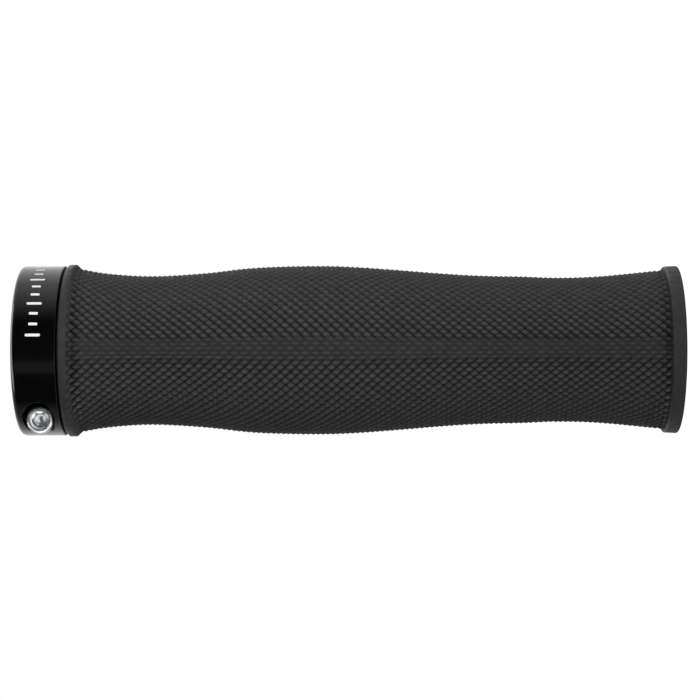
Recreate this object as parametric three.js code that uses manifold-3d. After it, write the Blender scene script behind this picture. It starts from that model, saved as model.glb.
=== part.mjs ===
// A bicycle handlebar grip with one clamp, in millimetres.
// The grip's axis is Z. It stands on its closed outer end, and the clamp end with the bar's bore is up.
// The clamp's split is at -X and the bolt's head looks towards -Y.
import * as THREE from "three";
import { mergeVertices } from "three/addons/utils/BufferGeometryUtils.js";
import Module from "manifold-3d";

const wasm = await Module();
wasm.setup();

// The handlebar that the grip slides on
const barDiameter = 22.2;
const barClearance = 0.1;

// Lengths along the axis
const gripLength = 133;
const clampWidth = 9;
const clampGap = 0.3;
const endWall = 3.2;
const collarRecess = 0.3;

// Hard core tube, which carries the rubber and ends in a thinner collar under the clamp
const coreWall = 1.5;
const collarWall = 0.8;
const coreEndGap = 0.3;
const mouldGap = 0.2;
const slotCount = 4;
const slotWidth = 1.6;
const slotRoot = 0.8;
const mouthChamfer = 0.4;

// Rubber flanges
const innerFlangeThickness = 4.6;
const innerFlangeWidth = 2.6;
const innerFlangeChamfer = 0.45;
const innerFlangeSlope = 0.7;
const outerFlangeThickness = 4.08;
const outerFlangeWidth = 2.8;
const outerFlangeSlope = 0.5;
const outerFlangeTaper = 0.1;
const outerEdgeRound = 0.5;

// Rubber over the core along the hand: share of the knurled stretch from the outer end, and thickness
const handOutline = [
  [0, 3.32],
  [0.109, 2.08],
  [0.182, 1.83],
  [0.242, 2.1],
  [0.342, 2.45],
  [0.515, 4],
  [0.603, 4.31],
  [0.702, 3.95],
  [0.786, 2.89],
  [0.878, 2.31],
  [0.956, 2.9],
  [1, 3.84],
];

// Diamond knurl
const knurlsAround = 32;
const knurlsAlong = 34;
const knurlDepth = 0.6;
const partingLineAngles = [Math.PI / 2, (3 * Math.PI) / 2];
const partingLineFade = 0.3;
const partingLineDepthShare = 0.35;

// Clamp ring
const clampWall = 5.05;
const clampClearance = 0.2;
const splitWidth = 1.5;
const clampEdgeRound = 1;
const clampInnerChamfer = 0.35;
const clampBoreChamfer = 0.4;

// Clamp bolt, a socket head cap screw
const boltDiameter = 3;
const boltLength = 12;
const headDiameter = 5.5;
const headHeight = 3;
const headEdgeChamfer = 0.35;
const socketWidth = 2.5;
const socketDepth = 1.5;
const socketChamfer = 0.25;
const boltTipChamfer = 0.4;
const counterboreClearance = 0.45;
const boltHoleClearance = 0.15;
const seatGap = 0.1;
const seatWall = 0.12;
const boltInset = 2.2;
const boltFromClampEnd = 4.7;

// Places and radii that follow from the sizes above
const boreRadius = barDiameter / 2 + barClearance;
const coreRadius = boreRadius + coreWall;
const collarRadius = boreRadius + collarWall;
const cavityRadius = coreRadius + mouldGap;
const clampBoreRadius = collarRadius + clampClearance;
const clampRadius = clampBoreRadius + clampWall;
const innerFlangeRadius = cavityRadius + innerFlangeThickness;
const outerFlangeRadius = cavityRadius + outerFlangeThickness;
const clampBase = gripLength - clampWidth;
const sleeveTop = clampBase - clampGap;
const coreBase = endWall + coreEndGap;
const collarTop = gripLength - collarRecess;
const knurlStart = outerFlangeWidth;
const knurlEnd = sleeveTop - innerFlangeWidth;
const knurlLength = knurlEnd - knurlStart;
const boltHeight = gripLength - boltFromClampEnd;
const boltOffset = clampBoreRadius + boltInset;
const counterboreRadius = headDiameter / 2 + counterboreClearance;
const boltHoleRadius = boltDiameter / 2 + boltHoleClearance;
// The seat is set where the counterbore just clears the bore of the ring
const counterboreInnerEdge = boltOffset - counterboreRadius;
const seatFromSplit = Math.sqrt(clampBoreRadius ** 2 - counterboreInnerEdge ** 2) + seatWall;

// How finely round forms are divided
const roundSegments = 72;
const coreSegments = 56;
const boltSegments = 28;
const arcSteps = 4;

const rubber = new THREE.MeshStandardMaterial({ color: 0x232323, roughness: 0.75, metalness: 0 });
const hardPlastic = new THREE.MeshStandardMaterial({ color: 0x1b1b1b, roughness: 0.5, metalness: 0 });
const anodised = new THREE.MeshStandardMaterial({ color: 0x0a0a0a, roughness: 0.22, metalness: 0.6 });
const platedSteel = new THREE.MeshStandardMaterial({ color: 0xc4c6c8, roughness: 0.25, metalness: 1 });

// A closed mesh as a solid that can be cut
function solidFrom(geometry) {
  const bare = geometry.clone();
  bare.deleteAttribute("normal");
  bare.deleteAttribute("uv");
  const merged = mergeVertices(bare, 1e-4);
  const mesh = new wasm.Mesh({
    numProp: 3,
    vertProperties: new Float32Array(merged.attributes.position.array),
    triVerts: new Uint32Array(merged.index.array),
  });
  return new wasm.Manifold(mesh);
}

// A cut solid as a geometry again
function geometryFrom(solid) {
  const mesh = solid.getMesh();
  const geometry = new THREE.BufferGeometry();
  geometry.setAttribute("position", new THREE.BufferAttribute(mesh.vertProperties, 3));
  geometry.setIndex(new THREE.BufferAttribute(mesh.triVerts, 1));
  return geometry;
}

// The points of a round edge from one angle to another, in radius and height
function roundEdge(centreRadius, centreHeight, size, fromAngle, toAngle) {
  const points = [];
  for (let step = 0; step <= arcSteps; step += 1) {
    const angle = fromAngle + ((toAngle - fromAngle) * step) / arcSteps;
    points.push([centreRadius + size * Math.cos(angle), centreHeight + size * Math.sin(angle)]);
  }
  return points;
}

// A turned body about Z from its outline of radius and height, which goes up on the outside
function turned(outline, segments) {
  const points = outline.map(([radius, height]) => new THREE.Vector2(radius, height));
  const geometry = new THREE.LatheGeometry([...points, points[0].clone()], segments);
  return geometry.rotateX(Math.PI / 2);
}

// A closed body about Z from rows of points. A row with no radii is one point on the axis. Each square between
// two rows is split along the diagonal that joins the corners with odd steps, where the knurl's grooves run.
function wrapRows(rows, columns) {
  const positions = [];
  const rowStarts = [];
  for (const row of rows) {
    rowStarts.push(positions.length / 3);
    if (!row.radii) {
      positions.push(0, 0, row.height);
      continue;
    }
    for (let column = 0; column < columns; column += 1) {
      const angle = (2 * Math.PI * column) / columns;
      const radius = row.radii[column];
      positions.push(radius * Math.cos(angle), radius * Math.sin(angle), row.height);
    }
  }
  const indices = [];
  for (let step = 0; step + 1 < rows.length; step += 1) {
    for (let column = 0; column < columns; column += 1) {
      const next = (column + 1) % columns;
      const lower = rows[step].radii ? [column, next] : [0, 0];
      const upper = rows[step + 1].radii ? [column, next] : [0, 0];
      const lowerLeft = rowStarts[step] + lower[0];
      const lowerRight = rowStarts[step] + lower[1];
      const upperLeft = rowStarts[step + 1] + upper[0];
      const upperRight = rowStarts[step + 1] + upper[1];
      if (!rows[step].radii) {
        indices.push(lowerLeft, upperRight, upperLeft);
      } else if (!rows[step + 1].radii) {
        indices.push(lowerLeft, lowerRight, upperLeft);
      } else if ((step + column) % 2 === 0) {
        indices.push(lowerLeft, lowerRight, upperLeft);
        indices.push(lowerRight, upperRight, upperLeft);
      } else {
        indices.push(lowerLeft, lowerRight, upperRight);
        indices.push(lowerLeft, upperRight, upperLeft);
      }
    }
  }
  const geometry = new THREE.BufferGeometry();
  geometry.setAttribute("position", new THREE.Float32BufferAttribute(positions, 3));
  geometry.setIndex(indices);
  return geometry;
}

// How much of the knurl's depth is left at an angle: it fades at the two parting lines of the mould
function knurlDepthAt(angle) {
  let share = 1;
  for (const line of partingLineAngles) {
    const away = Math.abs(Math.atan2(Math.sin(angle - line), Math.cos(angle - line)));
    const rise = THREE.MathUtils.smoothstep(away, 0, partingLineFade);
    share = Math.min(share, partingLineDepthShare + (1 - partingLineDepthShare) * rise);
  }
  return knurlDepth * share;
}

// The rubber sleeve: closed outer end, outer flange, knurled hand stretch, inner flange and core cavity
function gripSleeve() {
  const columns = 2 * knurlsAround;
  const evenRow = (radius, height) => ({ height, radii: new Array(columns).fill(radius) });
  const handCurve = new THREE.SplineCurve(
    handOutline.map(([share, thickness]) => new THREE.Vector2(share * knurlLength, cavityRadius + thickness)),
  );
  const curvePoints = handCurve.getPoints(handOutline.length * 40);
  const handRadius = (distance) => {
    const after = Math.max(1, curvePoints.findIndex((point) => point.x >= distance - 1e-9));
    const low = curvePoints[after - 1];
    const high = curvePoints[after];
    const share = (distance - low.x) / (high.x - low.x);
    return THREE.MathUtils.lerp(low.y, high.y, THREE.MathUtils.clamp(share, 0, 1));
  };

  const rows = [{ height: 0 }];
  const edgeCentre = outerFlangeRadius - outerEdgeRound;
  for (const [radius, height] of roundEdge(edgeCentre, outerEdgeRound, outerEdgeRound, -Math.PI / 2, 0)) {
    rows.push(evenRow(radius, height));
  }
  rows.push(evenRow(outerFlangeRadius - outerFlangeTaper, outerFlangeWidth - outerFlangeSlope));
  const firstKnurlRow = rows.length;
  for (let step = 0; step <= 2 * knurlsAlong; step += 1) {
    const distance = (knurlLength * step) / (2 * knurlsAlong);
    const crest = handRadius(distance);
    const radii = [];
    for (let column = 0; column < columns; column += 1) {
      const isCrest = (firstKnurlRow + step + column) % 2 === 0;
      const angle = (2 * Math.PI * column) / columns;
      radii.push(isCrest ? crest : crest - knurlDepthAt(angle));
    }
    rows.push({ height: knurlStart + distance, radii });
  }
  rows.push(evenRow(innerFlangeRadius, knurlEnd + innerFlangeSlope));
  rows.push(evenRow(innerFlangeRadius, sleeveTop - innerFlangeChamfer));
  rows.push(evenRow(innerFlangeRadius - innerFlangeChamfer, sleeveTop));
  rows.push(evenRow(cavityRadius, sleeveTop));
  rows.push(evenRow(cavityRadius, endWall));
  rows.push({ height: endWall });

  const sleeve = new THREE.Mesh(wrapRows(rows, columns), rubber);
  sleeve.name = "grip_sleeve";
  return sleeve;
}

// The hard core tube with its slotted collar
function coreTube() {
  const outline = [
    [boreRadius, coreBase],
    [coreRadius, coreBase],
    [coreRadius, sleeveTop],
    [collarRadius, sleeveTop],
    [collarRadius, collarTop],
    [boreRadius + mouthChamfer, collarTop],
    [boreRadius, collarTop - mouthChamfer],
  ];
  let tube = solidFrom(turned(outline, coreSegments));
  const slotBottom = clampBase + slotRoot;
  const slotHeight = gripLength - slotBottom;
  for (let slot = 0; slot < slotCount; slot += 1) {
    const cutter = new THREE.BoxGeometry(coreWall * 4, slotWidth, slotHeight);
    cutter.translate(collarRadius, 0, slotBottom + slotHeight / 2);
    cutter.rotateZ((2 * Math.PI * (slot + 0.5)) / slotCount);
    tube = tube.subtract(solidFrom(cutter));
  }
  const core = new THREE.Mesh(geometryFrom(tube), hardPlastic);
  core.name = "core_tube";
  return core;
}

// A round cutter along Y at the bolt's place in the ring, between two distances from the split
function boltCutter(radius, fromY, toY) {
  const cutter = new THREE.CylinderGeometry(radius, radius, toY - fromY, boltSegments);
  return solidFrom(cutter.translate(-boltOffset, (fromY + toY) / 2, boltHeight - clampBase));
}

// The clamp ring, turned, then split, counterbored for the bolt's head and drilled through
function clampRing() {
  const outline = [
    [clampBoreRadius, clampBoreChamfer],
    [clampBoreRadius + clampBoreChamfer, 0],
    [clampRadius - clampInnerChamfer, 0],
    [clampRadius, clampInnerChamfer],
    ...roundEdge(clampRadius - clampEdgeRound, clampWidth - clampEdgeRound, clampEdgeRound, 0, Math.PI / 2),
    [clampBoreRadius + clampBoreChamfer, clampWidth],
    [clampBoreRadius, clampWidth - clampBoreChamfer],
  ];
  let ring = solidFrom(turned(outline, roundSegments));
  const splitter = new THREE.BoxGeometry(clampWall * 3, splitWidth, clampWidth * 2);
  splitter.translate(-(clampBoreRadius + clampWall / 2), 0, clampWidth / 2);
  ring = ring.subtract(solidFrom(splitter));
  ring = ring.subtract(boltCutter(counterboreRadius, -2 * clampRadius, -seatFromSplit));
  ring = ring.subtract(boltCutter(boltHoleRadius, -2 * clampRadius, 2 * clampRadius));
  const clamp = new THREE.Mesh(geometryFrom(ring), anodised);
  clamp.name = "clamp_ring";
  clamp.position.z = clampBase;
  return clamp;
}

// The bolt about its own Z axis: the seat of its head is at 0, the head is up and the tip is down
function clampBolt() {
  const headRadius = headDiameter / 2;
  const shankRadius = boltDiameter / 2;
  const outline = [
    [0, -boltLength],
    [shankRadius - boltTipChamfer, -boltLength],
    [shankRadius, boltTipChamfer - boltLength],
    [shankRadius, 0],
    [headRadius, 0],
    [headRadius, headHeight - headEdgeChamfer],
    [headRadius - headEdgeChamfer, headHeight],
    [0, headHeight],
  ];
  const points = outline.map(([radius, height]) => new THREE.Vector2(radius, height));
  let screw = solidFrom(new THREE.LatheGeometry(points, boltSegments).rotateX(Math.PI / 2));
  const socketRadius = socketWidth / Math.sqrt(3);
  const socket = new THREE.CylinderGeometry(socketRadius, socketRadius, 2 * socketDepth, 6);
  screw = screw.subtract(solidFrom(socket.rotateX(Math.PI / 2).translate(0, 0, headHeight)));
  const chamferReach = socketRadius + socketChamfer;
  const chamfer = new THREE.ConeGeometry(chamferReach * 2, chamferReach * 2, boltSegments);
  const coneTip = headHeight - chamferReach;
  screw = screw.subtract(solidFrom(chamfer.rotateX(-Math.PI / 2).translate(0, 0, coneTip + chamferReach)));
  const bolt = new THREE.Mesh(geometryFrom(screw), platedSteel);
  bolt.name = "clamp_bolt";
  bolt.rotation.x = Math.PI / 2;
  bolt.position.set(-boltOffset, -(seatFromSplit + seatGap), boltHeight);
  return bolt;
}

const grip = new THREE.Group();
grip.name = "handlebar_grip";
grip.add(gripSleeve(), coreTube(), clampRing(), clampBolt());

export default grip;
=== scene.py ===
"""The looks of a clamped bicycle handlebar grip, built around its packed frame.

The file is laid out as an add-on and is run as a script. All lengths are in metres, in the solids' frame:
the grip's axis is Z, it stands on its closed outer end, and the clamp with its bolt is at the top.
"""

import math

import bmesh
import bpy
from bpy.props import FloatProperty, FloatVectorProperty, IntProperty, PointerProperty
from mathutils import Matrix, Vector


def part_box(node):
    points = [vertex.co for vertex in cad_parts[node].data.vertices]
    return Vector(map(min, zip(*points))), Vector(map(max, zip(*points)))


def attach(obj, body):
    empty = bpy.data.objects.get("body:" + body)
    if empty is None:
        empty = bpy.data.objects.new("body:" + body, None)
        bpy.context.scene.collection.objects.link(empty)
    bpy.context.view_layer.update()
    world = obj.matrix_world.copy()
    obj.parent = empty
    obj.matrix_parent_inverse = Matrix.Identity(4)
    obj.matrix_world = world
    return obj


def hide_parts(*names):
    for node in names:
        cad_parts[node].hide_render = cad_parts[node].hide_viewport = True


bl_info = {
    "name": "Handlebar Grip Looks",
    "version": (1, 0, 0),
    "blender": (4, 5, 0),
    "location": "View3D > Sidebar > Grip",
    "description": "Builds the knurled sleeve, core, clamp ring, bolt and studio of a handlebar grip",
    "category": "Object",
}

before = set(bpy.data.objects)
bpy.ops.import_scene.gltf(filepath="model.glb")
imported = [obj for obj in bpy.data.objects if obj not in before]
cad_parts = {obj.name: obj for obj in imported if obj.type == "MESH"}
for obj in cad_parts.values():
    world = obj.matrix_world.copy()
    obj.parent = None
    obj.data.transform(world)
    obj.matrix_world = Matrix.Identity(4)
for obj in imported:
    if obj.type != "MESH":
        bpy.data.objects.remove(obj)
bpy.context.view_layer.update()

MM = 0.001
# Points that are nearer to each other than this are one point
WELD = 0.001 * MM
# Edges that turn by more than this are broken, or stay sharp on the bolt
SHARP_ANGLE = math.radians(35)
# On the rubber only edges that turn by more than this stay sharp
RUBBER_SHARP_ANGLE = math.radians(75)
# The floor lies this much under the part's end face, so that the two never share a plane
FLOOR_GAP = 0.05 * MM

# Places that the solids fix
SLEEVE_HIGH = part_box("grip_sleeve")[1]
CORE_LOW, CORE_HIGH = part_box("core_tube")
RING_LOW, RING_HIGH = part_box("clamp_ring")
BOLT_LOW, BOLT_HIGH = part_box("clamp_bolt")
RING_RADIUS = RING_HIGH.y
BOLT_AXIS_X = (BOLT_LOW.x + BOLT_HIGH.x) / 2
BOLT_AXIS_Z = (BOLT_LOW.z + BOLT_HIGH.z) / 2
BOLT_LENGTH = BOLT_HIGH.y - BOLT_LOW.y

# The two parting lines of the mould lie at -Y and +Y. These angles, in radians, are past a line towards -X
BAND_BEGINS = (-0.14, -0.04)
BAND_ENDS = (0.16, 0.3)
SLANT_CHANGES = (-0.1, 0.2)
# How far the lines along the grip take the place of the diamonds inside the band
BAND_SHARE = 0.6
# How low the sides of such a line lie, as a share of the groove's depth
LINE_FALL = 0.8
# Height of the grooves' middles, as a share of the saddle height, and how far it changes with the slant
SADDLE_MIDDLE = 1.1
SADDLE_SLANT = 0.5
# The relief that the flanges and the end face are given, between a groove's 0 and a diamond's 1; it sets
# their colour partway along the painted groove shade
PLAIN_RELIEF = 0.48


def node_radii(node):
    """The smallest and greatest radius of a CAD node at each height, from low to high."""
    rows = {}
    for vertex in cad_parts[node].data.vertices:
        height = round(vertex.co.z, 5)
        radius = math.hypot(vertex.co.x, vertex.co.y)
        low, high = rows.get(height, (radius, radius))
        rows[height] = (min(low, radius), max(high, radius))
    return [(height, low, high) for height, (low, high) in sorted(rows.items())]


def length_property(name, millimetres, description):
    """A length that the user can change, given here in millimetres."""
    return FloatProperty(
        name=name,
        description=description,
        default=millimetres * MM,
        min=0,
        precision=5,
        unit="LENGTH",
    )


def level_property(name, level, description, highest=1.0):
    """A share or a brightness that the user can change."""
    return FloatProperty(name=name, description=description, default=level, min=0, max=highest)


def angle_property(name, degrees, description):
    """An angle that the user can change, given here in degrees."""
    angle = math.radians(degrees)
    return FloatProperty(name=name, description=description, default=angle, subtype="ANGLE")


def count_property(name, count, description, lowest=1):
    """A number of like things that the user can change."""
    return IntProperty(name=name, description=description, default=count, min=lowest)


def colour_property(name, colour, description):
    """A surface colour that the user can change."""
    return FloatVectorProperty(
        name=name,
        description=description,
        default=colour,
        min=0,
        max=1,
        size=3,
        subtype="COLOR",
    )


class GripSleeveSettings(bpy.types.PropertyGroup):
    """Sizes and colours of the moulded rubber sleeve."""

    knurls_around: count_property("Diamonds around", 56, "Diamonds in one ring", lowest=8)
    knurls_along: count_property("Diamonds along", 59, "Diamonds in one line", lowest=8)
    knurl_depth: length_property("Knurl depth", 0.68, "Depth of the grooves between the diamonds")
    shoulder_height: level_property("Shoulder height", 0.62, "Height of a shoulder, as a share")
    shoulder_shift: level_property("Shoulder shift", 0.4, "Move outwards, in quarter diamonds", 0.8)
    saddle_height: level_property("Saddle height", 0.25, "Height of a groove's middle, as a share")
    end_depth: level_property("End depth", 0.6, "How much deeper the grooves are beside the flanges")
    notch_depth: length_property("Notch depth", 0.12, "Depth of the notches in the inner flange's slope")
    outer_flange_width: length_property("Outer flange width", 2.85, "End face to the first diamonds")
    outer_flange_slope: length_property("Outer flange slope", 0.2, "Slope down to the diamonds")
    outer_edge_round: length_property("Outer edge round", 0.25, "Radius of the outer end's edge")
    inner_flange_width: length_property("Inner flange width", 2.6, "Clamp's side to the last diamonds")
    inner_flange_slope: length_property("Inner flange slope", 0.7, "Slope down to the diamonds")
    inner_flange_chamfer: length_property("Inner flange chamfer", 0.45, "Chamfer next to the clamp")
    flange_edge_round: length_property("Flange edge round", 0.18, "Radius of the flanges' other edges")
    end_wall: length_property("End wall", 3.2, "Thickness of the closed outer end")
    rubber_colour: colour_property("Rubber", (0.058, 0.058, 0.059), "Colour on top of the diamonds")
    # Painted shade: the grooves' floors get this darker colour in place of the shade that falls in them
    groove_shade_colour: colour_property("Groove", (0.0095, 0.0095, 0.0097), "Colour in the grooves")


class CoreSettings(bpy.types.PropertyGroup):
    """Sizes and colour of the hard core tube."""

    bore_radius: length_property("Bore radius", 11.2, "Radius of the bore that takes the handlebar")
    mouth_chamfer: length_property("Mouth chamfer", 0.4, "Chamfer at the mouth of the bore")
    edge_round: length_property("Edge round", 0.12, "Radius of the moulded edges")
    slot_count: count_property("Slots", 4, "Slots in the collar")
    slot_width: length_property("Slot width", 1.6, "Width of a slot in the collar")
    slot_root: length_property("Slot root", 0.8, "Height of the slots' ends above the clamp ring's foot")
    core_colour: colour_property("Core", (0.016, 0.016, 0.017), "Colour of the hard plastic")


class ClampRingSettings(bpy.types.PropertyGroup):
    """Sizes and colours of the clamp ring."""

    bore_chamfer: length_property("Bore chamfer", 0.4, "Chamfer at both ends of the ring's bore")
    edge_round: length_property("Edge round", 1.0, "Radius of the outer end's edge")
    foot_chamfer: length_property("Foot chamfer", 0.18, "Chamfer next to the rubber")
    split_width: length_property("Split width", 1.5, "Width of the split")
    counterbore_radius: length_property("Counterbore radius", 3.2, "Radius of the hollow for the head")
    bolt_hole_radius: length_property("Bolt hole radius", 1.65, "Radius of the drilled hole")
    seat_gap: length_property("Seat gap", 0.1, "Gap between the bolt's head and its seat")
    edge_break: length_property("Edge break", 0.12, "Width of the broken machined edges")
    anodised_colour: colour_property("Anodised black", (0.0008, 0.0008, 0.001), "Colour of the metal")
    tick_count: count_property("Ticks", 10, "Alignment ticks printed on the ring", lowest=2)
    tick_first: angle_property("First tick", 6, "Angle of the first tick from the -Y side towards +X")
    tick_step: angle_property("Tick step", 7.5, "Angle from one tick to the next")
    tick_width: length_property("Tick width", 0.55, "Width of a printed tick")
    tick_length: length_property("Tick length", 3.0, "Length of a long tick")
    tick_thickness: length_property("Print thickness", 0.02, "How far the print stands off the ring")
    short_tick: level_property("Short tick", 0.6, "Length of the others as a share of a long tick")
    print_colour: colour_property("Print", (0.95, 0.95, 0.95), "Colour of the printed ticks")


class ClampBoltSettings(bpy.types.PropertyGroup):
    """Sizes and colour of the socket head bolt."""

    head_radius: length_property("Head radius", 2.75, "Radius of the bolt's head")
    head_height: length_property("Head height", 3.0, "Height of the bolt's head")
    head_round: length_property("Head round", 0.55, "Radius of the head's top edge")
    grip_ridges: count_property("Ridges", 32, "Ridges round the side of the head", lowest=8)
    ridge_depth: length_property("Ridge depth", 0.06, "Depth between the ridges")
    shank_radius: length_property("Shank radius", 1.5, "Outer radius of the thread")
    thread_pitch: length_property("Thread pitch", 0.5, "Advance of the thread in one turn")
    thread_depth: length_property("Thread depth", 0.27, "Depth of the thread")
    socket_width: length_property("Socket width", 2.5, "Width of the socket across its flats")
    socket_depth: length_property("Socket depth", 1.5, "Depth of the socket")
    socket_chamfer: length_property("Socket chamfer", 0.3, "Chamfer at the socket's entry")
    steel_colour: colour_property("Steel", (0.62, 0.63, 0.64), "Colour of the plated steel")


class StudioSettings(bpy.types.PropertyGroup):
    """The studio's floor, light and camera."""

    floor_size: length_property("Floor size", 6000, "Side of the floor")
    floor_colour: colour_property("Floor", (0.86, 0.86, 0.86), "Colour of the pale floor")
    camera_distance: length_property("Camera distance", 451, "From the grip's axis to the camera")
    camera_height: length_property("Camera height", 61.0, "Height of the camera above the outer end")
    aim_height: length_property("Aim height", 66.3, "Height at the middle of the picture")
    aim_side: length_property("Aim side", 0.03, "From the axis to the middle of the picture, towards +X")
    frame_width: length_property("Frame width", 142.6, "Width of the picture at the grip's axis")
    camera_turn: angle_property("Camera turn", -4.3, "Turn round the grip, away from the bolt's head")
    camera_roll: angle_property("Camera roll", -0.11, "Roll on top of the turn that lays the grip level")
    ambient_level: level_property("Ambient", 0.15, "Even light from all sides")
    backdrop_level: level_property("Backdrop", 1.4, "Brightness of the reflected backdrop", highest=10)
    key_power: FloatProperty(name="Key light", description="Power of the key", default=3.7, unit="POWER")


GROUPS = {
    "grip_sleeve_settings": GripSleeveSettings,
    "core_settings": CoreSettings,
    "clamp_ring_settings": ClampRingSettings,
    "clamp_bolt_settings": ClampBoltSettings,
    "studio_settings": StudioSettings,
}


class NodeBuilder:
    """Adds nodes to a tree and joins them."""

    def __init__(self, tree):
        self.tree = tree

    def add(self, kind, inputs=None, **settings):
        """Adds a node with its settings and inputs, each a socket to join or a plain value."""
        node = self.tree.nodes.new(kind)
        for name, value in settings.items():
            setattr(node, name, value)
        for key, value in (inputs or {}).items():
            self.feed(node.inputs[key], value)
        return node

    def make(self, kind, inputs=None, **settings):
        """Adds a node in the same way and gives its first output."""
        return self.add(kind, inputs, **settings).outputs[0]

    def feed(self, socket, value):
        """Joins a socket to an input, or sets the input's own value."""
        if isinstance(value, bpy.types.NodeSocket):
            self.tree.links.new(value, socket)
        else:
            socket.default_value = value

    def calculate(self, operation, first, second=0.0, third=0.0):
        """One Math node's result."""
        node = self.add("ShaderNodeMath", operation=operation)
        for socket, value in zip(node.inputs, (first, second, third)):
            self.feed(socket, value)
        return node.outputs[0]

    def plus(self, first, second):
        """The sum of two values."""
        return self.calculate("ADD", first, second)

    def minus(self, first, second):
        """The first value less the second."""
        return self.calculate("SUBTRACT", first, second)

    def times(self, product, *others):
        """The product of two or more values."""
        for value in others:
            product = self.calculate("MULTIPLY", product, value)
        return product

    def ramp(self, value, from_low, from_high, to_low, to_high):
        """A value taken smoothly from one range to another."""
        node = self.add("ShaderNodeMapRange", interpolation_type="SMOOTHSTEP")
        for socket, number in zip(node.inputs, (value, from_low, from_high, to_low, to_high)):
            self.feed(socket, number)
        return node.outputs[0]


def surface_material(name, even=None):
    """A new material with its builder and its shader, which gets the values that are even all over."""
    material = bpy.data.materials.new(name)
    material.use_nodes = True
    shader = material.node_tree.nodes["Principled BSDF"]
    for key, value in (even or {}).items():
        shader.inputs[key].default_value = value
    return material, NodeBuilder(material.node_tree), shader


def noise(build, scale, detail=3.0):
    """Noise over the object's own coordinates."""
    place = build.add("ShaderNodeTexCoord").outputs["Object"]
    node = build.add("ShaderNodeTexNoise", {"Vector": place, "Scale": scale, "Detail": detail})
    return node.outputs["Fac"]


def patches(build, cloud):
    """The middle of a noise's range spread over 0 to 1."""
    return build.ramp(cloud, 0.35, 0.65, 0.0, 1.0)


def roughness_between(build, cloud, smoothest, roughest):
    """A roughness that follows a noise."""
    return build.ramp(cloud, 0.3, 0.7, smoothest, roughest)


def tinted(colour, share):
    """A colour made darker or paler."""
    return tuple(share * value for value in colour)


def mix_colours(build, share, first, second):
    """A colour between two colours."""
    node = build.add("ShaderNodeMix", data_type="RGBA")
    build.feed(node.inputs["Factor"], share)
    for key, colour in (("A", first), ("B", second)):
        socket = next(s for s in node.inputs if s.name == key and s.type == "RGBA")
        build.feed(socket, colour if isinstance(colour, bpy.types.NodeSocket) else (*colour, 1.0))
    return next(s for s in node.outputs if s.type == "RGBA")


def finish_surface(build, shader, colour, roughness, grain, strength, depth):
    """Joins a colour, a roughness and the fine relief of a grain to a shader."""
    build.feed(shader.inputs["Base Color"], colour)
    build.feed(shader.inputs["Roughness"], roughness)
    bump = build.add("ShaderNodeBump", {"Height": grain, "Strength": strength, "Distance": depth})
    build.feed(shader.inputs["Normal"], bump.outputs["Normal"])


def moulded_rubber(settings):
    """Matt black rubber with painted shade in the grooves, faint cloudy patches and a fine moulded grain.
    """
    material, build, shader = surface_material("moulded rubber", {"Specular IOR Level": 0.43})
    relief = build.add("ShaderNodeAttribute", attribute_name="relief").outputs["Fac"]
    raised = build.calculate("POWER", relief, 1.3)
    duller = tinted(settings.rubber_colour, 0.9)
    paler = tinted(settings.rubber_colour, 1.12)
    top = mix_colours(build, patches(build, noise(build, 550.0)), duller, paler)
    # Painted shade: the colour darkens from the diamonds' tops to the grooves' floors, following the
    # relief
    colour = mix_colours(build, raised, settings.groove_shade_colour, top)
    rough = roughness_between(build, noise(build, 700.0), 0.42, 0.6)
    finish_surface(build, shader, colour, rough, noise(build, 5200.0, 4.0), 0.35, 0.03 * MM)
    return material


def hard_plastic(settings):
    """Matt black hard plastic with a fine spark-eroded grain."""
    material, build, shader = surface_material("hard plastic")
    grain = noise(build, 4200.0, 4.0)
    lighter = tinted(settings.core_colour, 1.5)
    colour = mix_colours(build, patches(build, grain), settings.core_colour, lighter)
    rough = roughness_between(build, grain, 0.42, 0.6)
    finish_surface(build, shader, colour, rough, grain, 0.3, 0.03 * MM)
    return material


def black_anodised(settings):
    """Gloss black anodised aluminium with faint turning lines round the axis."""
    material, build, shader = surface_material("black anodised aluminium")
    place = build.add("ShaderNodeTexCoord").outputs["Object"]
    stretched = build.add("ShaderNodeMapping", {"Vector": place, "Scale": (60.0, 60.0, 9000.0)})
    along = stretched.outputs["Vector"]
    lines = build.add("ShaderNodeTexNoise", {"Vector": along, "Scale": 1.0, "Detail": 2.0}).outputs["Fac"]
    lighter = tinted(settings.anodised_colour, 2.0)
    colour = mix_colours(build, noise(build, 300.0), settings.anodised_colour, lighter)
    rough = roughness_between(build, lines, 0.12, 0.22)
    finish_surface(build, shader, colour, rough, lines, 0.06, 0.01 * MM)
    return material


def plated_steel(settings):
    """Bright plated steel with small cloudy and scratched places."""
    material, build, shader = surface_material("plated steel", {"Metallic": 1.0})
    cloud = noise(build, 1400.0)
    darker = tinted(settings.steel_colour, 0.88)
    colour = mix_colours(build, patches(build, cloud), darker, settings.steel_colour)
    rough = roughness_between(build, cloud, 0.28, 0.4)
    finish_surface(build, shader, colour, rough, noise(build, 6500.0, 4.0), 0.25, 0.02 * MM)
    return material


def white_print(settings):
    """White pad print with a slightly uneven ink."""
    material, build, shader = surface_material("white print", {"Roughness": 0.45})
    thin = tinted(settings.print_colour, 0.88)
    colour = mix_colours(build, noise(build, 2500.0), settings.print_colour, thin)
    build.feed(shader.inputs["Base Color"], colour)
    return material


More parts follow.
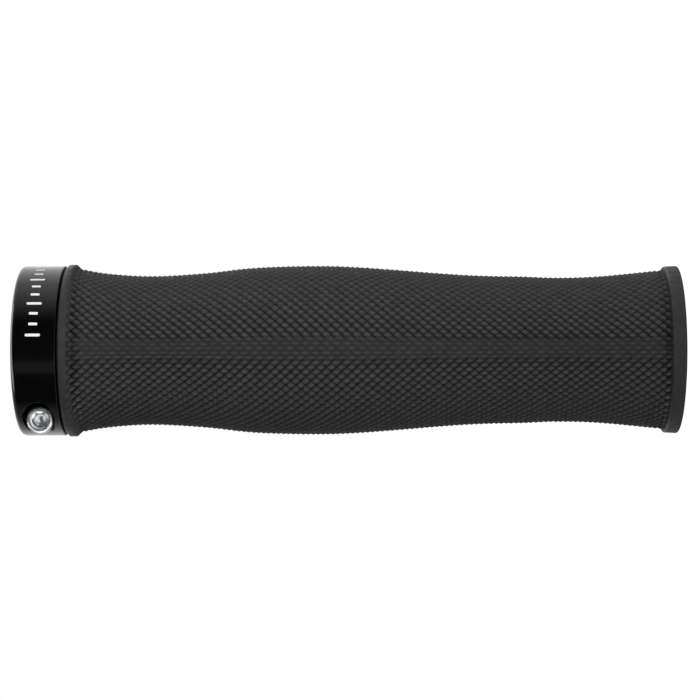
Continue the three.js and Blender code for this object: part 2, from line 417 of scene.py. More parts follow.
def pale_floor(settings):
    """A pale floor that the camera sees as white with a faint shadow."""
    material, build, shader = surface_material("pale floor", {
        "Base Color": (*settings.floor_colour, 1.0),
        "Roughness": 0.9,
        "Specular IOR Level": 0.1,
    })
    glow_level = 0.98
    shadow_share = 0.25
    glow = build.make("ShaderNodeEmission", {"Strength": glow_level})
    dark = build.make("ShaderNodeEmission", {"Strength": 0.0})
    faint = build.make("ShaderNodeMixShader", {"Fac": shadow_share, 1: dark, 2: shader.outputs[0]})
    white = build.make("ShaderNodeAddShader", {0: glow, 1: faint})
    seen = build.add("ShaderNodeLightPath").outputs["Is Camera Ray"]
    choice = build.make("ShaderNodeMixShader", {"Fac": seen, 1: shader.outputs[0], 2: white})
    output = material.node_tree.nodes["Material Output"]
    build.feed(output.inputs["Surface"], choice)
    return material


def add_piece(name, mesh, material, node=None):
    """Puts a finished mesh into the scene as a piece that rides on the grip."""
    mesh.materials.clear()
    mesh.materials.append(material)
    piece = bpy.data.objects.new(name, mesh)
    mesh.name = name
    bpy.context.scene.collection.objects.link(piece)
    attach(piece, "root")
    if node:
        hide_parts(node)


def finished_mesh(obj):
    """The plain mesh of an object with its modifiers applied. The object itself is removed."""
    graph = bpy.context.evaluated_depsgraph_get()
    mesh = bpy.data.meshes.new_from_object(obj.evaluated_get(graph))
    bpy.data.objects.remove(obj)
    return mesh


def working_object(name, mesh):
    """An object that only lives while a piece is made."""
    obj = bpy.data.objects.new(name, mesh)
    bpy.context.scene.collection.objects.link(obj)
    return obj


def arc(centre_radius, centre_height, size, from_degrees, to_degrees, steps=6):
    """The points of a round edge, as radius and height."""
    points = []
    for step in range(steps + 1):
        angle = math.radians(from_degrees + (to_degrees - from_degrees) * step / steps)
        points.append((centre_radius + size * math.cos(angle), centre_height + size * math.sin(angle)))
    return points


def new_mesh(name, built):
    """A mesh from a finished bmesh, which is freed."""
    mesh = bpy.data.meshes.new(name)
    built.to_mesh(mesh)
    built.free()
    return mesh


def wrapped_mesh(name, rows, columns):
    """A closed mesh from rows of a radius at each angle and a height. Rows on the axis become poles."""
    built = bmesh.new()
    rings = []
    for radius_at, height in rows:
        ring = []
        for column in range(columns):
            angle = 2 * math.pi * column / columns
            radius = radius_at(angle)
            ring.append(built.verts.new((radius * math.cos(angle), radius * math.sin(angle), height)))
        rings.append(ring)
    for low, high in zip(rings, rings[1:]):
        for column in range(columns):
            following = (column + 1) % columns
            built.faces.new((low[column], low[following], high[following], high[column]))
    bmesh.ops.remove_doubles(built, verts=built.verts[:], dist=0.1 * WELD)
    bmesh.ops.dissolve_degenerate(built, edges=built.edges[:], dist=0.01 * WELD)
    bmesh.ops.recalc_face_normals(built, faces=built.faces[:])
    return new_mesh(name, built)


def turned_mesh(name, outline, columns):
    """A closed turned mesh from an outline of radius and height that comes back to its first point."""
    rows = [(lambda angle, radius=radius: radius, height) for radius, height in [*outline, outline[0]]]
    return wrapped_mesh(name, rows, columns)


def on_bolt_axis(y):
    """The move and turn that lay an upright shape along the bolt's axis."""
    turn = Matrix.Rotation(math.radians(90), 4, "X")
    return Matrix.Translation((BOLT_AXIS_X, y, BOLT_AXIS_Z)) @ turn


def drum_mesh(name, radius, from_y, to_y):
    """A round cutter along the bolt's axis."""
    built = bmesh.new()
    bmesh.ops.create_cone(
        built,
        cap_ends=True,
        segments=96,
        radius1=radius,
        radius2=radius,
        depth=to_y - from_y,
        matrix=on_bolt_axis((from_y + to_y) / 2),
    )
    return new_mesh(name, built)


def block_mesh(name, centre, size, turn=0.0):
    """A square cutter, turned about Z."""
    built = bmesh.new()
    scale = Matrix.Diagonal((*size, 1.0))
    place = Matrix.Rotation(turn, 4, "Z") @ Matrix.Translation(centre) @ scale
    bmesh.ops.create_cube(built, size=1.0, matrix=place)
    return new_mesh(name, built)


def cut(mesh, cutters, edge_break):
    """The mesh with the cutters taken out of it and its sharp edges broken."""
    body = working_object("body being cut", mesh)
    tools = [working_object(f"cutter {index}", cutter) for index, cutter in enumerate(cutters)]
    for tool in tools:
        difference = body.modifiers.new("cut", "BOOLEAN")
        difference.operation = "DIFFERENCE"
        difference.solver = "EXACT"
        difference.object = tool
    made = finished_mesh(body)
    for tool in tools:
        bpy.data.objects.remove(tool)
    cleaned = bmesh.new()
    cleaned.from_mesh(made)
    bmesh.ops.remove_doubles(cleaned, verts=cleaned.verts[:], dist=4 * WELD)
    cleaned.to_mesh(made)
    cleaned.free()
    made.shade_smooth()
    body = working_object("body being finished", made)
    bevel = body.modifiers.new("edge break", "BEVEL")
    bevel.width = edge_break
    bevel.segments = 2
    bevel.limit_method = "ANGLE"
    bevel.angle_limit = SHARP_ANGLE
    weighted = body.modifiers.new("even shading", "WEIGHTED_NORMAL")
    weighted.weight = 100
    return finished_mesh(body)


def round_normals(mesh, radius):
    """Sets the exact normals of a turned surface on a mesh that has been cut."""
    least_facing = 0.8
    normals = [Vector(corner.vector) for corner in mesh.corner_normals]
    for polygon in mesh.polygons:
        for loop in polygon.loop_indices:
            place = mesh.vertices[mesh.loops[loop].vertex_index].co
            outward = Vector((place.x, place.y, 0))
            on_surface = abs(outward.length - radius) < 5 * WELD
            if on_surface and polygon.normal.dot(outward) > least_facing * outward.length:
                normals[loop] = outward.normalized()
    mesh.normals_split_custom_set(normals)


def shade_by_angle(mesh, angle):
    """Smooth shading with the edges past an angle kept sharp."""
    mesh.shade_smooth()
    mesh.set_sharp_from_angle(angle=angle)


def sleeve_outline(settings):
    """The sleeve's outline from its end face's middle to the cavity's floor, and a knurl step's height.

    Each point is a radius, a height, a knurl step and a groove depth. The knurl's crest is the solid's.
    The knurl step counts quarter diamonds and is -1 elsewhere.
    """
    top = SLEEVE_HIGH.z
    small = settings.flange_edge_round
    end_round = settings.outer_edge_round
    chamfer = settings.inner_flange_chamfer
    slope = settings.inner_flange_slope
    knurl_start = settings.outer_flange_width
    knurl_end = top - settings.inner_flange_width
    crown = knurl_start - settings.outer_flange_slope
    taper = 0.1 * MM
    near = 0.1 * MM
    thinnest_wall = 0.5 * MM

    radii = node_radii("grip_sleeve")
    outer_radius = max(high for height, low, high in radii if height < crown)
    inner_radius = SLEEVE_HIGH.x
    cavity_radius = min(low for height, low, high in radii if height > top - 0.1 * near)
    crest = [
        (height, high)
        for height, low, high in radii
        if knurl_start - near < height < knurl_end + near and high > cavity_radius + thinnest_wall
    ]
    crest_end = crest[-1][1]

    def crest_at(height):
        for (low_height, low_radius), (high_height, high_radius) in zip(crest, crest[1:]):
            if height <= high_height:
                share = (height - low_height) / (high_height - low_height)
                return low_radius + (high_radius - low_radius) * share
        return crest_end

    plain = [(0.0, 0.0), *arc(outer_radius - end_round, end_round, end_round, -90, 0)]
    plain += arc(outer_radius - taper - small, crown - small, small, 0, 60, 3)
    points = [(*point, -1.0, 0.0) for point in plain]

    # Beside each flange the grooves are deeper, and that fades out over this many steps
    fade_steps = 3
    steps = 4 * settings.knurls_along
    step_height = (knurl_end - knurl_start) / (steps - 1)
    for step in range(1, steps + 1):
        height = knurl_start + step_height * (step - 1)
        from_end = min(step - 1, steps - step)
        near_end = min(1.0, max(0.0, 1 - (from_end - 1) / fade_steps))
        depth = settings.knurl_depth * (1 + settings.end_depth * near_end)
        points.append((crest_at(height), height, float(step), depth))

    # The last grooves run out as notches on the inner flange's slope
    climb = inner_radius - 0.5 * small - crest_end
    climb_share = 0.4
    notch_depth = settings.notch_depth + climb_share * climb
    undercut = 0.1 * MM
    for extra in (1, 2):
        share = extra / 2
        depth = settings.knurl_depth + (notch_depth - settings.knurl_depth) * share + undercut
        points.append((crest_end + climb * share, knurl_end + slope * share, float(steps + extra), depth))

    plain = [(inner_radius, knurl_end + slope + 0.8 * small)]
    plain += arc(inner_radius - small, top - chamfer - small, small, 0, 45, 3)
    plain += arc(inner_radius - chamfer - small, top - small, small, 45, 90, 3)
    plain += [(cavity_radius, top), (cavity_radius, settings.end_wall), (0.0, settings.end_wall)]
    points += [(*point, -1.0, 0.0) for point in plain]
    return points, step_height


def outline_mesh(points):
    """The outline as a line of edges that carries its values to the nodes."""
    mesh = bpy.data.meshes.new("sleeve outline")
    corners = [(radius, height, 0.0) for radius, height, step, depth in points]
    mesh.from_pydata(corners, [(index, index + 1) for index in range(len(points) - 1)], [])
    for column, name in enumerate(("outline_radius", "outline_height", "knurl_step", "groove_depth")):
        values = mesh.attributes.new(name, "FLOAT", "POINT")
        values.data.foreach_set("value", [point[column] for point in points])
    return mesh


SOCKET_KINDS = {
    int: "NodeSocketInt",
    float: "NodeSocketFloat",
    bpy.types.Material: "NodeSocketMaterial",
}


def new_geometry_tree(name, values):
    """A geometry node tree with an input for each named value, its builder and its inputs' sockets."""
    tree = bpy.data.node_groups.new(name, "GeometryNodeTree")
    tree.interface.new_socket("Geometry", in_out="INPUT", socket_type="NodeSocketGeometry")
    for key, value in values.items():
        tree.interface.new_socket(key, in_out="INPUT", socket_type=SOCKET_KINDS[type(value)])
    tree.interface.new_socket("Geometry", in_out="OUTPUT", socket_type="NodeSocketGeometry")
    build = NodeBuilder(tree)
    start = build.add("NodeGroupInput")
    return tree, build, {socket.name: socket for socket in start.outputs if socket.name}


def end_geometry_tree(build, geometry, material):
    """Real geometry with its material as the tree's result."""
    real = build.make("GeometryNodeRealizeInstances", {"Geometry": geometry})
    painted = build.make("GeometryNodeSetMaterial", {"Geometry": real, "Material": material})
    build.add("NodeGroupOutput", {"Geometry": painted})


def run_geometry_tree(name, mesh, tree, values):
    """The plain mesh that a tree makes from a mesh and its named input values."""
    obj = working_object(name, mesh)
    modifier = obj.modifiers.new(name, "NODES")
    modifier.node_group = tree
    for item in tree.interface.items_tree:
        if item.in_out == "INPUT" and item.name in values:
            modifier[item.identifier] = values[item.name]
    return finished_mesh(obj)


def store_value(build, geometry, name, value):
    """Geometry with a named value kept on each of its points."""
    inputs = {"Geometry": geometry, "Name": name, "Value": value}
    return build.make("GeometryNodeStoreNamedAttribute", inputs, data_type="FLOAT", domain="POINT")


def round_place(build, radius, angle, height):
    """A place from its radius, its angle from +X and its height."""
    return build.make("ShaderNodeCombineXYZ", {
        "X": build.times(radius, build.calculate("COSINE", angle)),
        "Y": build.times(radius, build.calculate("SINE", angle)),
        "Z": height,
    })


def knurl_tree(values):
    """Turns the sleeve's outline round the axis and cuts the diamond knurl into it.

    Each diamond has a top and four shoulders between crossing grooves, on a lattice of quarter diamonds.
    The grooves that lean one way are shallower than the others, and this swaps at the parting lines.
    Near the mould's two parting lines the diamonds run together into flat lines along the grip.
    """
    tree, build, inputs = new_geometry_tree("diamond knurl", values)
    calculate = build.calculate
    plus = build.plus
    minus = build.minus
    times = build.times

    def stored(name):
        return build.make("GeometryNodeInputNamedAttribute", {"Name": name}, data_type="FLOAT")

    outline = build.make("GeometryNodeMeshToCurve", {"Mesh": inputs["Geometry"]})
    rail = build.make("GeometryNodeCurvePrimitiveCircle", {"Resolution": inputs["Columns"], "Radius": 1.0})
    number = build.make("GeometryNodeInputIndex")
    numbered = store_value(build, rail, "column", number)
    shell = build.make("GeometryNodeCurveToMesh", {"Curve": numbered, "Profile Curve": outline})

    # Where a point lies on the lattice, and how far past a parting line
    column = stored("column")
    step = stored("knurl_step")
    knurled = calculate("GREATER_THAN", step, -0.5)
    across = calculate("PINGPONG", column, 2.0)
    along = calculate("PINGPONG", step, 2.0)
    column_wave = times(column, math.pi / 2)
    step_wave = times(step, math.pi / 2)
    angle = times(column, calculate("DIVIDE", 2 * math.pi, inputs["Columns"]))
    wrapped = calculate("WRAP", angle, math.pi, -math.pi)
    past_line = minus(calculate("ABSOLUTE", wrapped), math.pi / 2)

    # Tops, shoulders and grooves
    slant = times(calculate("SINE", column_wave), calculate("SINE", step_wave))
    side = build.ramp(past_line, *SLANT_CHANGES, SADDLE_SLANT, -SADDLE_SLANT)
    joined = plus(SADDLE_MIDDLE, times(slant, side))
    saddle = times(across, along, inputs["Saddle height"])
    total = plus(across, along)
    level = calculate("MINIMUM", total, minus(4.0, total))
    pad = build.add("GeometryNodeIndexSwitch", data_type="FLOAT")
    pad.index_switch_items.new()
    build.feed(pad.inputs["Index"], calculate("ROUND", level))
    build.feed(pad.inputs["0"], 1.0)
    build.feed(pad.inputs["1"], inputs["Shoulder height"])
    build.feed(pad.inputs["2"], times(saddle, joined))

    # Flat lines in the band beside each parting line
    rise = build.ramp(past_line, *BAND_BEGINS, 0.0, 1.0)
    fall = build.ramp(past_line, *BAND_ENDS, 1.0, 0.0)
    line_share = times(rise, fall, BAND_SHARE)
    line = minus(1.0, times(calculate("PINGPONG", column, 1.0), LINE_FALL))
    rib = times(line, plus(0.5, times(pad.outputs[0], 0.5)))
    relief = plus(times(pad.outputs[0], minus(1.0, line_share)), times(rib, line_share))

    # The shape, and the relief that the rubber's painted groove shade follows
    sunk = times(stored("groove_depth"), minus(1.0, relief))
    radius = minus(stored("outline_radius"), sunk)
    shift_along = times(calculate("SINE", step_wave), calculate("COSINE", column_wave))
    moved = times(shift_along, times(inputs["Shoulder shift"], knurled), inputs["Step height"])
    height = plus(stored("outline_height"), moved)
    place = round_place(build, radius, angle, height)
    shown_relief = plus(times(relief, knurled), times(minus(1.0, knurled), PLAIN_RELIEF))
    kept = store_value(build, shell, "relief", shown_relief)
    shaped = build.make("GeometryNodeSetPosition", {"Geometry": kept, "Position": place})
    closed = build.make("GeometryNodeMergeByDistance", {"Geometry": shaped, "Distance": WELD})
    faceted = build.make("GeometryNodeTriangulate", {"Mesh": closed}, quad_method="LONGEST_DIAGONAL")
    end_geometry_tree(build, faceted, inputs["Material"])
    return tree


class GRIP_OT_sleeve(bpy.types.Operator):
    """Make the knurled rubber sleeve with both flanges and the closed outer end"""

    bl_idname = "grip.sleeve"
    bl_label = "Rubber sleeve"

    def execute(self, context):
        settings = context.scene.grip_sleeve_settings
        material = moulded_rubber(settings)
        points, step_height = sleeve_outline(settings)
        values = {
            "Columns": 4 * settings.knurls_around,
            "Step height": step_height,
            "Shoulder height": settings.shoulder_height,
            "Shoulder shift": settings.shoulder_shift,
            "Saddle height": settings.saddle_height,
            "Material": material,
        }
        mesh = run_geometry_tree("sleeve being made", outline_mesh(points), knurl_tree(values), values)
        checked = bmesh.new()
        checked.from_mesh(mesh)
        bmesh.ops.recalc_face_normals(checked, faces=checked.faces[:])
        checked.to_mesh(mesh)
        checked.free()
        shade_by_angle(mesh, RUBBER_SHARP_ANGLE)
        add_piece("rubber_sleeve", mesh, material, "grip_sleeve")
        return {"FINISHED"}


class GRIP_OT_core(bpy.types.Operator):
    """Make the hard core tube with its slotted collar"""

    bl_idname = "grip.core"
    bl_label = "Core tube"

    def execute(self, context):
        settings = context.scene.core_settings
        radii = node_radii("core_tube")
        collar_radius = max(high for height, low, high in radii if height > RING_LOW.z)
        shoulder = SLEEVE_HIGH.z
        outline = [
            (settings.bore_radius, CORE_LOW.z),
            (CORE_HIGH.x, CORE_LOW.z),
            (CORE_HIGH.x, shoulder),
            (collar_radius, shoulder),
            (collar_radius, CORE_HIGH.z),
            (settings.bore_radius + settings.mouth_chamfer, CORE_HIGH.z),
            (settings.bore_radius, CORE_HIGH.z - settings.mouth_chamfer),
        ]
        slot_bottom = RING_LOW.z + settings.slot_root
        slot_height = 2 * (CORE_HIGH.z - slot_bottom)
        slot_reach = 8 * MM
        size = (slot_reach, settings.slot_width, slot_height)
        centre = Vector((collar_radius, 0, slot_bottom + slot_height / 2))
        cutters = []
        for slot in range(settings.slot_count):
            turn = 2 * math.pi * (slot + 0.5) / settings.slot_count
            cutters.append(block_mesh("slot", centre, size, turn))
        mesh = cut(turned_mesh("core", outline, columns=180), cutters, settings.edge_round)
        add_piece("core_collar", mesh, hard_plastic(settings), "core_tube")
        return {"FINISHED"}


class GRIP_OT_clamp_ring(bpy.types.Operator):
    """Make the split clamp ring with its counterbore and drilled hole"""

    bl_idname = "grip.clamp_ring"
    bl_label = "Clamp ring"

    def execute(self, context):
        settings = context.scene.clamp_ring_settings
        bore = min(low for height, low, high in node_radii("clamp_ring"))
        foot = RING_LOW.z
        top = RING_HIGH.z
        edge = settings.edge_round
        outline = [
            (bore, foot + settings.bore_chamfer),
            (bore + settings.bore_chamfer, foot),
            (RING_RADIUS - settings.foot_chamfer, foot),
            (RING_RADIUS, foot + settings.foot_chamfer),
            *arc(RING_RADIUS - edge, top - edge, edge, 0, 90, 10),
            (bore + settings.bore_chamfer, top),
            (bore, top - settings.bore_chamfer),
        ]
        seat = BOLT_LOW.y + context.scene.clamp_bolt_settings.head_height + settings.seat_gap
        outside = 2 * RING_RADIUS
        centre = Vector((-(bore + RING_RADIUS) / 2, 0, (foot + top) / 2))
        block = (2 * (RING_RADIUS - bore), settings.split_width, 2 * (top - foot))
        cutters = [
            block_mesh("split", centre, block),
            drum_mesh("counterbore", settings.counterbore_radius, -outside, seat),
            drum_mesh("bolt hole", settings.bolt_hole_radius, seat - MM, outside),
        ]
        mesh = cut(turned_mesh("ring", outline, columns=256), cutters, settings.edge_break)
        round_normals(mesh, RING_RADIUS)
        add_piece("split_ring", mesh, black_anodised(settings), "clamp_ring")
        return {"FINISHED"}


def tick_tree(values):
    """Rounded ticks in a row round the ring, each third one long."""
    tree, build, inputs = new_geometry_tree("alignment ticks", values)
    calculate = build.calculate
    times = build.times
    minus = build.minus
    width = inputs["Width"]
    thickness = inputs["Thickness"]
    size = {"Width": width, "Height": inputs["Length"]}
    border = build.make("GeometryNodeCurvePrimitiveQuadrilateral", size)
    # A little under half the width, so that the rounded ends stay whole
    corner_share = 0.49
    rounded = build.make("GeometryNodeFilletCurve", {
        "Curve": border,
        "Count": 5,
        "Radius": times(width, corner_share),
    }, mode="POLY")
    face = build.make("GeometryNodeFillCurve", {"Curve": rounded}, mode="NGONS")
    # Half of a tick's height is sunk in the ring
    raised = build.add("GeometryNodeExtrudeMesh", {
        "Mesh": face,
        "Offset Scale": times(thickness, 2.0),
        "Individual": False,
    })
    under = build.add("GeometryNodeFlipFaces", {"Mesh": face})
    joined = build.add("GeometryNodeJoinGeometry")
    build.feed(joined.inputs[0], raised.outputs["Mesh"])
    build.feed(joined.inputs[0], under.outputs["Mesh"])
    tick = build.make("GeometryNodeMergeByDistance", {"Geometry": joined.outputs[0], "Distance": WELD})

    number = build.make("GeometryNodeInputIndex")
    angle = calculate("MULTIPLY_ADD", number, inputs["Step"], inputs["First angle"])
    from_x = minus(angle, math.pi / 2)
    place = round_place(build, minus(inputs["Radius"], thickness), from_x, inputs["Height"])
    points = build.make("GeometryNodePoints", {"Count": inputs["Count"], "Position": place})
    is_short = calculate("GREATER_THAN", calculate("MODULO", number, 3.0), 0.5)
    missing = times(is_short, minus(1.0, inputs["Short share"]))
    scale = build.make("ShaderNodeCombineXYZ", {"X": 1.0, "Y": minus(1.0, missing), "Z": 1.0})
    turned = build.make("ShaderNodeCombineXYZ", {"X": math.pi / 2, "Y": 0.0, "Z": angle})
    rotation = build.make("FunctionNodeEulerToRotation", {"Euler": turned})
    row = build.make("GeometryNodeInstanceOnPoints", {
        "Points": points,
        "Instance": tick,
        "Rotation": rotation,
        "Scale": scale,
    })
    end_geometry_tree(build, row, inputs["Material"])
    return tree


class GRIP_OT_ticks(bpy.types.Operator):
    """Print plain alignment ticks on the clamp ring"""

    bl_idname = "grip.ticks"
    bl_label = "Alignment ticks"

    def execute(self, context):
        settings = context.scene.clamp_ring_settings
        material = white_print(settings)
        values = {
            "Count": settings.tick_count,
            "First angle": settings.tick_first,
            "Step": settings.tick_step,
            "Radius": RING_RADIUS,
            "Height": (RING_LOW.z + RING_HIGH.z) / 2,
            "Width": settings.tick_width,
            "Length": settings.tick_length,
            "Short share": settings.short_tick,
            "Thickness": settings.tick_thickness,
            "Material": material,
        }
        empty = bpy.data.meshes.new("empty")
        mesh = run_geometry_tree("ticks being made", empty, tick_tree(values), values)
        add_piece("alignment_ticks", mesh, material)
        return {"FINISHED"}


def bolt_rows(settings):
    """Rows of the bolt about its own axis, from its tip up to the head and down into the socket."""
    head = settings.head_radius
    head_round = settings.head_round
    shank = settings.shank_radius
    pitch = settings.thread_pitch
    width = settings.socket_width
    top = BOLT_LENGTH
    seat = top - settings.head_height
    edge = 0.15 * MM

    def even(radius, height):
        return (lambda angle: radius, height)

    def threaded(height):
        fade = min(1.0, height / pitch, (seat - height) / pitch)

        def radius_at(angle):
            turn = (height / pitch - angle / (2 * math.pi)) % 1.0
            return shank - settings.thread_depth * fade * abs(2 * turn - 1) - (1 - fade) * edge

        return (radius_at, height)

    def ridged(height):
        def radius_at(angle):
            wave = 0.5 - 0.5 * math.cos(settings.grip_ridges * angle)
            return head - settings.ridge_depth * wave

        return (radius_at, height)

    def hexagon(height, size):
        side = math.pi / 3

        def radius_at(angle):
            return size / 2 / math.cos((angle + side / 2) % side - side / 2)

        return (radius_at, height)

    rows_per_turn = 8
    thread_rows = int(seat / pitch * rows_per_turn)
    ridge_low = seat + 0.45 * MM
    ridge_high = top - head_round - 0.35 * MM
    ridge_fade = 0.1 * MM
    entry = width / math.sqrt(3) + 0.12 * MM
    floor = top - settings.socket_depth
    floor_step = 0.1 * MM
    floor_width = 0.96 * width
    lip_width = 0.05 * MM
    lip_depth = 0.03 * MM
    drill = 0.45 * width
    drill_foot = 0.4 * width
    drill_step = 0.06 * MM
    drill_depth = 0.5 * MM
    return [
        even(0.0, 0.0),
        *[threaded(seat * row / thread_rows) for row in range(thread_rows)],
        even(shank, seat),
        even(head - edge, seat),
        even(head, seat + edge),
        even(head, ridge_low - ridge_fade),
        ridged(ridge_low),
        ridged(ridge_high),
        even(head, ridge_high + ridge_fade),
        *[even(*point) for point in arc(head - head_round, top - head_round, head_round, 0, 90, 8)],
        even(entry + lip_width, top),
        even(entry, top - lip_depth),
        hexagon(top - settings.socket_chamfer, width),
        hexagon(floor + floor_step, width),
        hexagon(floor, floor_width),
        even(drill, floor),
        even(drill_foot, floor - drill_step),
        even(0.0, floor - drill_depth),
    ]


class GRIP_OT_bolt(bpy.types.Operator):
    """Make the socket head bolt with its thread"""

    bl_idname = "grip.bolt"
    bl_label = "Clamp bolt"

    def execute(self, context):
        settings = context.scene.clamp_bolt_settings
        mesh = wrapped_mesh("bolt", bolt_rows(settings), columns=192)
        mesh.transform(on_bolt_axis(BOLT_HIGH.y))
        shade_by_angle(mesh, SHARP_ANGLE)
        add_piece("socket_head_bolt", mesh, plated_steel(settings), "clamp_bolt")
        return {"FINISHED"}


def studio_world(settings):
    """White to the camera, soft light on the surfaces, and a backdrop above and behind in reflections."""
    world = bpy.data.worlds.new("studio")
    world.use_nodes = True
    world.node_tree.nodes.clear()
    build = NodeBuilder(world.node_tree)
    direction = build.add("ShaderNodeTexCoord").outputs["Generated"]
    parts = build.add("ShaderNodeSeparateXYZ", {"Vector": direction})
    path = build.add("ShaderNodeLightPath")

    # What reflections show: a white backdrop that is brightest in its middle, and a dim one low down
    middle = (0.574, 0.819, 0.0)
    facing = build.add("ShaderNodeVectorMath", {0: direction, 1: middle}, operation="DOT_PRODUCT")
    edge, white, brightest = -0.36, 0.6, 0.95
    near = build.ramp(facing.outputs["Value"], edge, white, 0.0, 1.0)
    far = build.ramp(facing.outputs["Value"], white, brightest, 0.0, settings.backdrop_level - 1.0)
    low_level = 0.24
    below = build.ramp(parts.outputs["X"], -0.3, -0.8, 0.0, low_level)
    beside = build.ramp(parts.outputs["Y"], -0.25, 0.1, 0.0, 1.0)
    reflected = build.plus(build.plus(near, far), build.times(below, beside))
    mirror = build.calculate("MAXIMUM", path.outputs["Is Glossy Ray"], path.outputs["Is Transmission Ray"])

    # What lights the surfaces: half the level from below the picture and twice the level from above it
    dimmest = 0.5 * settings.ambient_level
    fullest = 2.0 * settings.ambient_level
    from_above = build.ramp(parts.outputs["X"], -1.0, 1.0, dimmest, fullest)
    ambient = build.times(path.outputs["Is Diffuse Ray"], from_above)

    unseen = build.plus(build.times(mirror, reflected), ambient)
    level = build.calculate("MAXIMUM", unseen, path.outputs["Is Camera Ray"])
    background = build.make("ShaderNodeBackground", {"Color": (1.0, 1.0, 1.0, 1.0), "Strength": level})
    build.add("ShaderNodeOutputWorld", {"Surface": background})
    bpy.context.scene.world = world


def area_light(name, target, offset, size, power, in_reflections=True, only=None):
    """A soft light that looks at a target from an offset. It can shine on one piece only."""
    data = bpy.data.lights.new(name, "AREA")
    data.shape = "RECTANGLE"
    data.size, data.size_y = size
    data.energy = power
    light = bpy.data.objects.new(name, data)
    place = target + Vector(offset)
    light.location = place
    light.rotation_mode = "QUATERNION"
    light.rotation_quaternion = (target - place).to_track_quat("-Z", "Y")
    light.visible_camera = False
    light.visible_glossy = in_reflections
    bpy.context.scene.collection.objects.link(light)
    if only:
        receivers = bpy.data.collections.new(f"lit by {name}")
        receivers.objects.link(bpy.data.objects[only])
        light.light_linking.receiver_collection = receivers
    return light


def studio_lights(settings):
    """The lights on the whole grip, and those that give the rubber, bolt and ring their own highlights."""
    middle = Vector((0, 0, SLEEVE_HIGH.z / 2))
    area_light("key light", middle, (0.08, -0.68, 0.24), (0.4, 0.4), settings.key_power, False)
    area_light("back light", middle, (0, 0.7, 0.2), (0.4, 0.4), 1.6, False)
    sheen = area_light("sheen", middle, (0.04, -0.62, 0.46), (0.35, 0.35), 0.9, only="rubber_sleeve")
    sheen.visible_diffuse = False
    area_light("front panel", middle, (-0.48, -0.98, 0.2), (0.3, 0.5), 0.08)

    bolt = Vector((BOLT_AXIS_X, BOLT_LOW.y, BOLT_AXIS_Z))
    for name, offset, side, level in (
        ("front", (0.01, -0.1, -0.05), 0.08, 0.8),
        ("above", (0.07, -0.1, -0.01), 0.08, 0.9),
        ("left", (-0.03, -0.06, 0.09), 0.09, 1.9),
        ("right", (-0.05, -0.05, -0.08), 0.08, 1.6),
        ("below", (-0.1, -0.035, 0.0), 0.12, 2.4),
    ):
        power = level * math.pi * side ** 2
        area_light(f"bolt {name}", bolt, offset, (side, side), power, only="socket_head_bolt")

    ring = Vector((-2 * MM, -RING_RADIUS, RING_HIGH.z))
    area_light("ring left", ring, (-0.04, -0.02, 0.4), (0.2, 0.7), 2.1, only="split_ring")
    area_light("ring right", ring, (-0.03, -0.09, -0.09), (0.04, 0.1), 0.1, only="split_ring")


def studio_floor(settings):
    """The pale floor under the closed outer end."""
    half = settings.floor_size / 2
    corners = [(half * x, half * y, -FLOOR_GAP) for x, y in ((-1, -1), (1, -1), (1, 1), (-1, 1))]
    ground = bpy.data.meshes.new("floor")
    ground.from_pydata(corners, [], [(0, 1, 2, 3)])
    ground.materials.append(pale_floor(settings))
    floor = bpy.data.objects.new("floor", ground)
    bpy.context.scene.collection.objects.link(floor)


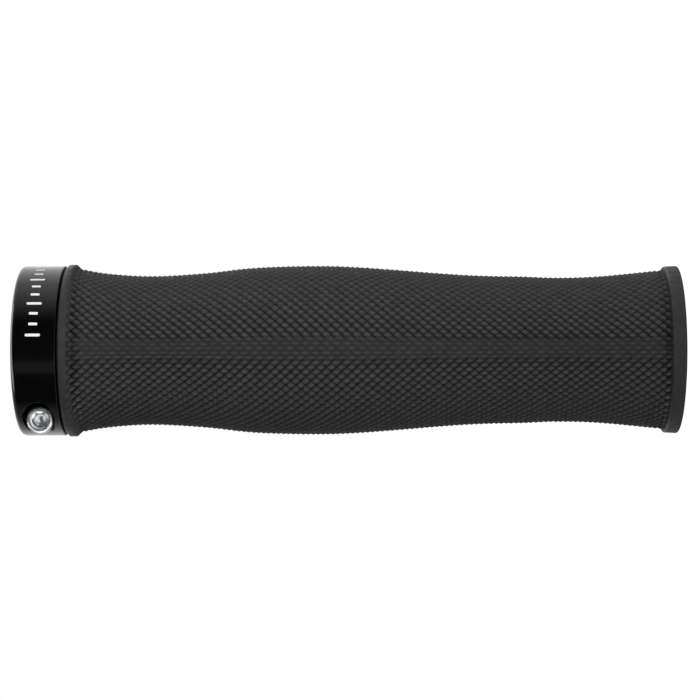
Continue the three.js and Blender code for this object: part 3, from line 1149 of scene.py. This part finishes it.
def studio_camera(settings):
    """The camera at the photograph's angle, on its side so that the grip lies level in the picture."""
    data = bpy.data.cameras.new("camera")
    data.sensor_width = 36
    data.lens = data.sensor_width * settings.camera_distance / settings.frame_width
    data.clip_start = 0.01
    data.clip_end = 20
    camera = bpy.data.objects.new("camera", data)
    bpy.context.scene.collection.objects.link(camera)
    turn = settings.camera_turn
    back = Vector((math.sin(turn), -math.cos(turn), 0))
    place = back * settings.camera_distance + Vector((0, 0, settings.camera_height))
    away = (place - Vector((settings.aim_side, 0, settings.aim_height))).normalized()
    right = Vector((0, 0, -1)) - away * away.dot(Vector((0, 0, -1)))
    right.normalize()
    up = away.cross(right)
    turned = Matrix((right, up, away)).transposed().to_4x4()
    roll = Matrix.Rotation(settings.camera_roll, 4, "Z")
    camera.matrix_world = Matrix.Translation(place) @ turned @ roll
    bpy.context.scene.camera = camera


class GRIP_OT_studio(bpy.types.Operator):
    """Make the floor, the soft light and the camera"""

    bl_idname = "grip.studio"
    bl_label = "Studio"

    def execute(self, context):
        settings = context.scene.studio_settings
        context.scene.view_settings.view_transform = "Standard"
        studio_world(settings)
        studio_lights(settings)
        studio_floor(settings)
        studio_camera(settings)
        return {"FINISHED"}


OPERATORS = (
    GRIP_OT_sleeve,
    GRIP_OT_core,
    GRIP_OT_clamp_ring,
    GRIP_OT_ticks,
    GRIP_OT_bolt,
    GRIP_OT_studio,
)


class GRIP_PT_panel(bpy.types.Panel):
    """Lists the grip's pieces and their sizes"""

    bl_idname = "GRIP_PT_panel"
    bl_label = "Handlebar grip"
    bl_space_type = "VIEW_3D"
    bl_region_type = "UI"
    bl_category = "Grip"

    def draw(self, context):
        for operator in OPERATORS:
            self.layout.operator(operator.bl_idname)
        for name, group in GROUPS.items():
            box = self.layout.box()
            box.label(text=group.__doc__)
            for key in group.__annotations__:
                box.prop(getattr(context.scene, name), key)


CLASSES = (*GROUPS.values(), *OPERATORS, GRIP_PT_panel)


def register():
    """Registers the classes and hangs the settings on the scene."""
    for entry in CLASSES:
        bpy.utils.register_class(entry)
    for name, group in GROUPS.items():
        setattr(bpy.types.Scene, name, PointerProperty(type=group))


def unregister():
    """Takes the settings and classes away again."""
    for name in GROUPS:
        delattr(bpy.types.Scene, name)
    for entry in reversed(CLASSES):
        bpy.utils.unregister_class(entry)


def main():
    """Builds the whole grip."""
    register()
    for operator in OPERATORS:
        group, name = operator.bl_idname.split(".")
        getattr(getattr(bpy.ops, group), name)()


if __name__ == "__main__":
    main()
